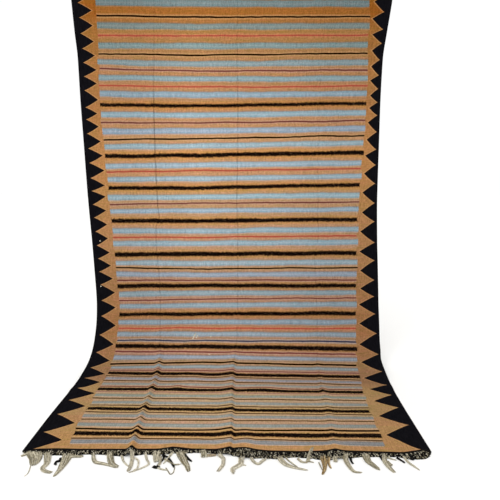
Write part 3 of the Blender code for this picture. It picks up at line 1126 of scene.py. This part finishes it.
def read_wool(tree):
    """What the chart says of each place, with the noises of the wool there."""
    facts = {name: add(tree, "Attribute", out="Fac", attribute_name=name) for name in CHART_FACTS}
    for name in DYE_AND_SHADE_FACTS:
        facts[name] = add(tree, "Attribute", out="Color", attribute_name=name)
    facts["flat_place"] = add(tree, "Attribute", out="Vector", attribute_name="flat_place")
    for name, along_weft, along_warp, detail in GRAINS:
        scale = (1 / along_weft, 1 / along_warp, 0.0)
        place = add(tree, "VectorMath", (facts["flat_place"], scale), operation="MULTIPLY")
        facts[name] = add(tree, "TexNoise", {"Vector": place, "Scale": 1.0, "Detail": detail})
    wool = SimpleNamespace(**facts)
    wool.blue_edge = ragged_edge(tree, wool.blue_in, wool.ragged, 5.0)
    wool.combed = ragged_edge(tree, wool.black_in, wool.comb, 22.0, 2.8)
    return wool


def plain_ochre(tree, wool):
    """Ochre wool in golden and pinkish lots that change from pass to pass."""
    golden = two_lots(tree, wool.ochre_dye, GOLDEN_LOTS, wool.mottle, 0.3, 0.7)
    pinkish = two_lots(tree, wool.ochre_dye, PINKISH_LOTS, wool.mottle, 0.3, 0.7)
    return lay(tree, golden, pinkish, wool.weft_streaks, 0.35, 0.65)


def ochre_ground(tree, wool, plain):
    """The ground between the stripes: deeper by the black lines, and tinged by the thin ones."""
    deeper = add(tree, "VectorMath", (plain, OCHRE_BY_BLACK), operation="MULTIPLY")
    ground = lay(tree, plain, deeper, wool.black_in, -17.0, -5.0)
    return lay(tree, ground, wool.beside_dye, wool.accent_in, -11.0, -2.0, 0.5)


def blue_bands(tree, wool, ground):
    """Blue in teal and greyish lots. Low in each band a darker pass and a pale one show."""
    band = two_lots(tree, wool.blue_dye, BLUE_LOTS, wool.hand_dye, 0.35, 0.65)
    pale = add(tree, "VectorMath", (wool.blue_dye, PALE_PASS), operation="MULTIPLY")
    band = lay(tree, band, pale, away_from(tree, wool.blue_lower, 0.0), 7.0, 1.0)
    dark = add(tree, "VectorMath", (wool.blue_dye, DARK_PASS), operation="MULTIPLY")
    depth = (wool.blue_lower, -4.0, 4.0, 0.15, 0.45)
    dark_share = add(tree, "MapRange", depth, interpolation_type="SMOOTHSTEP")
    band = lay(tree, band, dark, away_from(tree, wool.blue_in, 6.5), 3.2, 0.8, dark_share)
    outer = two_lots(tree, wool.ochre_dye, OUTER_PASSES, wool.blue_lower, -4.0, 4.0)
    band = lay(tree, band, outer, wool.blue_in, 8.5, 3.0, 0.85)
    return lay(tree, ground, band, wool.blue_edge, -1.2, 1.2)


def dark_lines(tree, wool, striped):
    """Thin lines of a few passes, and thick black ones with a core and a combed, dusty margin."""
    line_edge = ragged_edge(tree, wool.accent_in, wool.ragged, 2.4)
    striped = lay(tree, striped, wool.accent_dye, line_edge, -0.7, 0.7)
    black = lay(tree, linear("3E240F"), linear("090403"), wool.black_in, 3.0, 10.0)
    black = lay(tree, black, linear("4E3E30"), wool.mottle, 0.50, 0.68, 0.45)
    return lay(tree, striped, black, wool.combed, -1.0, 1.6)


def side_borders(tree, wool, plain, striped):
    """Outside the field there is plain ochre, then the black saw-tooth border."""
    margin = add(tree, "VectorMath", (plain, OCHRE_MARGIN), operation="MULTIPLY")
    field_edge = ragged_edge(tree, wool.field_in, wool.ragged, 6.0)
    cloth = lay(tree, margin, striped, field_edge, -1.5, 1.5)
    tooth = add(tree, "Math", (wool.tooth_turns, 1.0), operation="PINGPONG")
    swing = add(tree, "Math", (tooth, 0.86), operation="POWER")
    span = add(tree, "Math", (wool.tooth_reach, wool.notch_in), operation="SUBTRACT")
    reach = add(tree, "Math", (span, swing, wool.notch_in), operation="MULTIPLY_ADD")
    inside = add(tree, "Math", (reach, wool.border_in), operation="SUBTRACT")
    cloth = lay(tree, cloth, linear("CFA070"), away_from(tree, inside, -4.0), 5.0, 1.0, 0.4)
    blacks = {0: wool.rib_shade, 6: linear("08080B"), 7: linear("151418")}
    border = add(tree, "Mix", blacks, out=2, data_type="RGBA")
    border = lay(tree, border, linear("2A1403"), inside, 5.0, 1.5)
    cloth = lay(tree, cloth, border, ragged_edge(tree, inside, wool.ragged, 3.0), -0.8, 0.8)
    return lay(tree, cloth, linear("0A0908"), wool.weft_place, 3.5, 1.5)


def uneven_shade(tree, wool):
    """Brightness: the wool's own unevenness, painted shade along the folds' crests and a painted
    highlight beside them.
    """
    # Painted shade darkens the wool along each crease's crest, and a painted highlight lightens it a
    # little right of the crest.
    wear_and_shade = add(tree, "Math", (wool.crease_worn, -1.0), operation="MULTIPLY")
    fold = (away_from(tree, wool.crease_off, 0.0), 6.5, 1.0, 0.0, wear_and_shade)
    beside = (away_from(tree, wool.crease_off, 11.0), 7.0, 1.0, 0.0, 0.05)
    shade = SHADE_BASE
    for line in (fold, beside):
        line = add(tree, "MapRange", line, interpolation_type="SMOOTHSTEP")
        shade = add(tree, "Math", (line, shade), operation="ADD")
    for name, weight in SHADE_WEIGHTS.items():
        shade = add(tree, "Math", (getattr(wool, name), weight, shade), operation="MULTIPLY_ADD")
    # The ribs are more marked in the blue
    depth = (wool.blue_edge, -1.2, 1.2, 0.85, 0.95)
    rib_depth = add(tree, "MapRange", depth, interpolation_type="SMOOTHSTEP")
    rib = add(tree, "Math", (wool.rib_shade, 0.5), operation="SUBTRACT")
    return add(tree, "Math", (rib, rib_depth, shade), operation="MULTIPLY_ADD")


def weave_relief(tree, wool):
    """The relief of the warp ribs, the weft passes and the combed margins of the black lines."""
    stands = (wool.combed, -1.0, 2.0, 0.0, 1.2)
    stands = add(tree, "MapRange", stands, interpolation_type="SMOOTHSTEP")
    height = add(tree, "Math", (stands, wool.comb), operation="MULTIPLY")
    height = add(tree, "Math", (wool.ragged, 0.5, height), operation="MULTIPLY_ADD")
    for axis, spacing, relief in WEAVE:
        place = add(tree, "SeparateXYZ", (wool.flat_place,), out=axis)
        turn = add(tree, "Math", (place, math.tau / spacing), operation="MULTIPLY")
        wave = add(tree, "Math", (turn,), operation="SINE")
        height = add(tree, "Math", (wave, relief, height), operation="MULTIPLY_ADD")
    return add(tree, "Bump", {"Height": height, "Distance": MM, "Strength": 0.8})


def wool_material():
    """Hand-spun sheep's wool in a weft-faced plain weave: matt, slightly hairy, ribbed by its warp."""
    finish = {"Roughness": 0.95, "IOR": 1.54, "Specular_IOR_Level": 0.01}
    material, tree, shader = start_material("hand_spun_wool_flat_weave", **finish)
    wool = read_wool(tree)
    plain = plain_ochre(tree, wool)
    striped = blue_bands(tree, wool, ochre_ground(tree, wool, plain))
    cloth = side_borders(tree, wool, plain, dark_lines(tree, wool, striped))
    shaded = add(tree, "VectorMath", {0: cloth, "Scale": uneven_shade(tree, wool)}, operation="SCALE")
    tree.links.new(shaded, shader.inputs["Base Color"])
    tree.links.new(weave_relief(tree, wool), shader.inputs["Normal"])
    return material


# Yarns


def yarn_tubes(name, yarns, material):
    """One mesh of many yarns. Each yarn is its points, its radii and its dye."""
    points, faces, places, dyes = [], [], [], []
    around = np.arange(YARN_SIDES) / YARN_SIDES
    turn = math.tau * around[None, :, None]
    for route, radii, dye in yarns:
        along = unit(np.gradient(route, axis=0))
        side = unit(np.cross(along, (0.0, 0.0, 1.0)))
        up = np.cross(side, along)
        ring = np.cos(turn) * side[:, None] + np.sin(turn) * up[:, None]
        rings = route[:, None] + ring * radii[:, None, None]
        faces += tube_faces(len(points), len(route), YARN_SIDES)
        points.extend(rings.reshape(-1, 3))
        places.extend((place, run, 0.0) for run in run_along(*route.T) / MM for place in around)
        dyes.extend([dye] * len(route) * YARN_SIDES)
    piece = make_mesh(name, points, faces, material)
    give(piece, "yarn_place", places)
    give(piece, "yarn_tone", dyes)
    return piece


def edging_depth(across):
    """How far ahead of the cloth's edge the twined edging reaches, in metres."""
    places, width = columns(EDGING_WIDTH)
    return np.interp(across, places, width) * MM


def front_edge(across):
    """The underside of the cloth's front edge at places across."""
    places = np.atleast_1d(np.asarray(across, dtype=float))
    return cloth_points(places, np.zeros_like(places))


def resting_height(right, y, sunk):
    """Height of what a yarn rests on: the cloth or the edging, and the floor past them."""
    edge = front_edge(np.clip(right / RUG_WIDTH + 0.5, 0, 1))
    over = edge[:, 2] + EDGING_RISE * sunk
    past = edge[:, 1] - y - edging_depth(right / RUG_WIDTH + 0.5)
    fall = ease(np.clip(past / LANDING, 0, 1))
    return over + (FLOOR_CLEARANCE - TOP_EDGE_HEIGHT - over) * fall


def yarn_tone(wool, share):
    """A colour between the darkest and the palest yarn of a wool."""
    dark, pale = (np.array(linear(dye)) for dye in WARP_DYES[wool])
    return dark + (pale - dark) * share


def lock_yarn(draw, wool, root_width, tip_width, right, ahead, place):
    """One yarn of a lock, at a place across it from -1 to 1: its points, its radii and its dye with
    painted side shade.
    """
    far = run_along(right, ahead)
    own = far[-1] * (1 - draw.uniform(0, YARN_SHORTENING) * abs(place))
    where = np.linspace(0, own, max(6, round(own / MM / YARN_STEP)))
    share = where / far[-1]
    line = np.stack([smooth(where, far, right), FRONT_LINE - smooth(where, far, ahead)], -1)
    heading = unit(np.gradient(line, axis=0))
    half = (root_width + (tip_width - root_width) * share) * MM / 2 - YARN_RADIUS / 4
    half = np.maximum(half, 0)
    sway = place + YARN_SWAY * np.sin(share * draw.uniform(3, 9) + draw.uniform(0, 6))
    offset = half * np.clip(sway, -1, 1)
    line = line + np.stack([-heading[:, 1], heading[:, 0]], -1) * offset[:, None]
    thick = min(YARN_RADIUS, root_width * MM / 3.4)
    radii = thick * draw.uniform(*YARN_THICKNESS) * (1 - 0.5 * share**4)
    crown = LOCK_CROWN * half * (1 - place * place) * draw.uniform(*CROWN_RANGE)
    crown *= np.clip(share * 3, 0, 1)
    rest = resting_height(line[:, 0], line[:, 1], draw.uniform(*YARN_SUNK))
    # Painted shade: the yarns at a lock's sides are made darker.
    dye = yarn_tone(wool, draw.uniform(*DYE_RANGE) * (1 - PAINTED_SIDE_SHADE * abs(place)))
    return np.column_stack([line, rest + radii + crown]), radii, dye


def warp_yarns():
    """The yarns of every loose warp end: those of black wool, and the others."""
    draw = np.random.default_rng(11)
    pale, black = [], []
    for wool, root_width, tip_width, *places in WARP_ENDS:
        right, ahead = columns(places) * MM
        count = max(1, round(root_width / YARN_PITCH))
        for number in range(count):
            place = (number + 0.5) / count * 2 - 1
            yarn = lock_yarn(draw, wool, root_width, tip_width, right, ahead, place)
            (black if wool == BLACK else pale).append(yarn)
    return pale, black


def twined_edging(material):
    """The black weft twined round the warps along the front edge: a low uneven bar."""
    across = np.linspace(0, 1, EDGING_SECTIONS)
    edge = front_edge(across)
    uneven = sum(deep * waver(across * waves, across * 0, seed) for deep, waves, seed in EDGING_WAVERS)
    depth = edging_depth(across) + (np.clip(uneven, -3, 3) - 1) * MM
    corner = np.clip(1 - np.minimum(across, 1 - across) / CORNER_REACH, 0, 1) * np.sign(0.5 - across)
    points = []
    for place, deep, drawn_in, (x, y, z) in zip(across, depth, corner, edge):
        for back, rise in EDGING_SECTION:
            lump = 1 + LUMP_SHARE * math.sin(place * RUG_WIDTH / MM / EDGING_LUMP * math.tau + back * 5)
            side = drawn_in * CORNER_PULL * back
            points.append((x + side, y - PIECE_GAP - back * deep, z + rise * EDGING_RISE * lump))
    faces = tube_faces(0, len(across), len(EDGING_SECTION))
    return make_mesh("twined_black_edging", points, faces, material)


def stitch(draw, across, row, depth, turned):
    """A stitch over the edging, or a turn of the black weft that stands above the others."""
    section = columns(EDGING_SECTION[1:-1])
    x, y, z = front_edge(across)[0]
    reach = STITCH_LENGTH * draw.uniform(*STITCH_LENGTHS) * MM
    start = (BLACK_TURNS + (row + draw.uniform(0, 0.5)) * STITCH_ROWS) * MM
    share = np.linspace(0, 1, 5)
    out = start + reach * share * (TURN_FORWARD if turned else 1.0)
    hump = np.sin(share * math.pi)
    rise = np.interp(out / depth, section[0], section[1]) * EDGING_RISE
    radii = STITCH_RADIUS * draw.uniform(*STITCH_THICKNESS) * (0.6 + 0.4 * hump)
    lean = draw.choice((-1.0, 1.0)) if turned else draw.normal(0.1, 0.5)
    stand = draw.uniform(*(TURN_STAND if turned else STITCH_STAND)) * MM
    route = np.column_stack([x + lean * reach * share, y - PIECE_GAP - out, z + rise + hump * stand])
    if turned:
        return route, radii * TURN_THICKER, yarn_tone(BLACK, draw.uniform(0, 1))
    return route, radii, yarn_tone(COTTON, draw.uniform(*STITCH_DYES))


def edging_stitches():
    """Off-white warps that show between the turns of the black twining, and turns above them."""
    draw = np.random.default_rng(31)
    pale, black = [], []
    sparse, dense = STITCH_SHARE
    for number in range(int(RUG_WIDTH / MM / STITCH_SPACING)):
        base = (number + 0.5) * STITCH_SPACING * MM / RUG_WIDTH
        depth = float(edging_depth(base))
        rows = int((depth / MM - BLACK_TURNS) / STITCH_ROWS)
        for row in range(rows):
            turned = draw.random() < TURN_SHARE
            if not turned and draw.random() > sparse + (dense - sparse) * (row + 1) / rows:
                continue
            across = base + draw.normal(0, STITCH_SCATTER) * MM / RUG_WIDTH
            if STITCHED[0] < across < STITCHED[1]:
                (black if turned else pale).append(stitch(draw, across, row, depth, turned))
    return pale, black


def yarn_material(name, **finish):
    """Twisted yarn: its plies show as slanted ridges, with painted shade darkening it in between."""
    material, tree, shader = start_material(name, **finish)
    dye = add(tree, "Attribute", out="Color", attribute_name="yarn_tone")
    place = add(tree, "Attribute", out="Vector", attribute_name="yarn_place")
    turn = add(tree, "SeparateXYZ", (place,), out="X")
    run = add(tree, "SeparateXYZ", (place,), out="Y")
    twist = add(tree, "Math", (run, math.tau / FULL_TWIST), operation="MULTIPLY")
    phase = add(tree, "Math", (turn, math.tau * PLIES, twist), operation="MULTIPLY_ADD")
    plies = add(tree, "Math", (phase,), operation="SINE")
    # Painted shade in the grooves between the plies.
    groove = add(tree, "MapRange", (plies, -1.0, 0.2, 0.62, 1.0))
    spot = add(tree, "TexCoord", out="Object")
    fleck = add(tree, "TexNoise", {"Vector": spot, "Scale": 1 / SOIL_FLECK, "Detail": 2.0})
    clean = add(tree, "MapRange", (fleck, 0.35, 0.58, 0.62, 1.12))
    soil_and_shade = add(tree, "Math", (groove, clean), operation="MULTIPLY")
    soiled_and_shaded = add(tree, "VectorMath", {0: dye, "Scale": soil_and_shade}, operation="SCALE")
    tree.links.new(soiled_and_shaded, shader.inputs["Base Color"])
    bump = add(tree, "Bump", {"Height": plies, "Distance": 0.4 * MM, "Strength": 0.7})
    tree.links.new(bump, shader.inputs["Normal"])
    return material


def line_fibres(material):
    """Short stiff fibres that stand out along both sides of each thick black line."""
    draw = np.random.default_rng(47)
    places, left_at, right_at = columns(FIELD_SIDES)
    points, faces = [], []
    for middle, width in [(middle, width) for yarn, middle, width in CHART if yarn == BLACK]:
        left = np.interp(middle, places, left_at) * MM / RUG_WIDTH
        right = 1 - np.interp(middle, places, right_at) * MM / RUG_WIDTH
        count = int((right - left) * RUG_WIDTH / MM / FIBRE_SPACING)
        for way in (-1, 1):
            across = draw.uniform(left, right, count)
            start = middle + way * (width / 2 - draw.uniform(*FIBRE_ROOT, count))
            reach = FIBRE_LENGTH * draw.uniform(*FIBRE_LENGTHS, count)
            lean = draw.normal(0, FIBRE_LEAN, count)
            shift = weft_shift(across, np.full(count, middle * MM))
            foot = cloth_points(across, (start + shift) * MM)
            beside = cloth_points(across + FIBRE_WIDTH * MM / RUG_WIDTH, (start + shift) * MM)
            tip = cloth_points(across + lean * MM / RUG_WIDTH, (start + shift + way * reach) * MM)
            normal = unit(np.cross(beside - foot, tip - foot)) * way
            skin = normal * (CLOTH_THICKNESS + FIBRE_CLEARANCE)
            crown = (foot + beside) / 2 + normal * (CLOTH_THICKNESS + BLACK_RISE + FIBRE_CROWN)
            corners = np.stack([foot + skin, beside + skin, crown, tip + skin + normal * FIBRE_CROWN], 1)
            for quad in corners:
                for trio in ((0, 1, 3), (1, 2, 3), (2, 0, 3), (0, 2, 1)):
                    faces.append(tuple(len(points) + corner for corner in trio[::way]))
                points.extend(quad)
    return make_mesh("black_line_fibres", points, faces, material, smooth_faces=False)


def lint(material):
    """Small tufts of pale lint caught in the weave."""
    points, faces = [], []
    for across, along, size in LINT:
        places = np.array([across, across + 0.001, across])
        middle, over, up = cloth_points(places, np.array([along, along, along + 1.0]) * MM)
        over, up = unit(over - middle), unit(up - middle)
        normal = np.cross(over, up)
        faces += tube_faces(len(points), len(LINT_SECTION), LINT_SIDES)
        for level, share in LINT_SECTION:
            for side in range(LINT_SIDES):
                angle = side / LINT_SIDES * math.tau
                radius = size / 2 * MM * share * (1 + 0.25 * math.sin(3 * angle + size))
                spot = middle + over * math.cos(angle) * radius + up * math.sin(angle) * radius
                points.append(spot + normal * (CLOTH_THICKNESS + level * MM))
    tufts = make_mesh("caught_lint", points, faces, material)
    give(tufts, "yarn_place", np.zeros((len(points), 3)))
    give(tufts, "yarn_tone", [yarn_tone(COTTON, 0.8)] * len(points))
    return tufts


def mottled_wool(name, size, detail, dark, pale, **finish):
    """Wool whose colour changes between two tones in patches of a size, with its noise."""
    material, tree, shader = start_material(name, **finish)
    place = add(tree, "TexCoord", out="Object")
    patches = add(tree, "TexNoise", {"Vector": place, "Scale": 1 / size, "Detail": detail})
    tones = {0: patches, 6: linear(dark), 7: linear(pale)}
    tree.links.new(add(tree, "Mix", tones, out=2, data_type="RGBA"), shader.inputs["Base Color"])
    return material, tree, shader, patches


def black_fibre_material():
    """Black wool fibres that stand out of the thick lines: dark brown where they thin."""
    finish = {"Roughness": 0.9, "Specular_IOR_Level": 0.15}
    return mottled_wool("black_wool_fibre", 6 * MM, 1.0, "0A0606", "38240F", **finish)[0]


def twining_material():
    """Black wool weft, twined: near black, with a little grey in patches of wear."""
    finish = {"Roughness": 0.95, "Specular_IOR_Level": 0.05}
    made = mottled_wool("black_wool_twining", 9 * MM, 2.0, "020202", "181614", **finish)
    material, tree, shader, wear_and_shade = made
    bump = add(tree, "Bump", {"Height": wear_and_shade, "Distance": 2 * MM, "Strength": 0.8})
    tree.links.new(bump, shader.inputs["Normal"])
    return material


def white_surround():
    """A white surround that lights the rug evenly."""
    world = bpy.data.worlds.new("studio")
    world.use_nodes = True
    background = world.node_tree.nodes["Background"]
    background.inputs["Color"].default_value = (1.0, 1.0, 1.0, 1.0)
    background.inputs["Strength"].default_value = SURROUND_STRENGTH
    bpy.context.scene.world = world
    bpy.context.scene.view_settings.view_transform = "Standard"
    bpy.context.scene.view_settings.look = "None"


def pale_floor():
    """A matt, nearly white floor."""
    material, _, shader = start_material("pale_floor", Roughness=0.8, Specular_IOR_Level=0.1)
    shader.inputs["Base Color"].default_value = linear("FAFAF8")
    mesh = bpy.data.meshes.new("floor")
    corners = [(x * FLOOR_REACH, y * FLOOR_REACH, 0.0) for x, y in ((-1, -1), (1, -1), (1, 1), (-1, 1))]
    mesh.from_pydata(corners, [], [(0, 1, 2, 3)])
    mesh.materials.append(material)
    place_object("floor", mesh, (0.0, 0.0, -TOP_EDGE_HEIGHT - FLOOR_DROP))


def soft_lights():
    """The lamps, each turned towards its aim."""
    for name, kind, power, softness, place, aim in LIGHTS:
        lamp = bpy.data.lights.new(name, kind)
        lamp.energy = power
        setattr(lamp, "angle" if kind == "SUN" else "size", softness)
        x, y, z = np.array(aim) - np.array(place)
        turn = (math.atan2(math.hypot(x, y), -z), 0.0, math.atan2(y, x) - math.pi / 2)
        place_object(name, lamp, place, turn)


def camera():
    """The view of the photograph."""
    lens = bpy.data.cameras.new("camera")
    lens.lens = CAMERA_LENS
    lens.sensor_width = SENSOR_WIDTH
    bpy.context.scene.camera = place_object("camera", lens, CAMERA_PLACE, (CAMERA_TILT, 0.0, 0.0))


def main():
    white_surround()
    pale_floor()
    soft_lights()
    camera()
    cotton = yarn_material("cotton_warp_yarn", Roughness=0.9, IOR=1.53, Specular_IOR_Level=0.2)
    black = yarn_material("black_wool_yarn", Roughness=0.9, IOR=1.54, Specular_IOR_Level=0.1)
    cloth = woven_cloth(wool_material())
    fibres = line_fibres(black_fibre_material())
    bar = twined_edging(twining_material())
    pale_stitches, black_turns = edging_stitches()
    stitches = yarn_tubes("edging_stitches", pale_stitches, cotton)
    pale_yarns, black_yarns = warp_yarns()
    pale = yarn_tubes("cotton_warp_ends", pale_yarns, cotton)
    dark = yarn_tubes("black_warp_ends", black_yarns + black_turns, black)
    specks = lint(cotton)
    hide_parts("woven_rug")
    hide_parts("warp_fringe")


main()
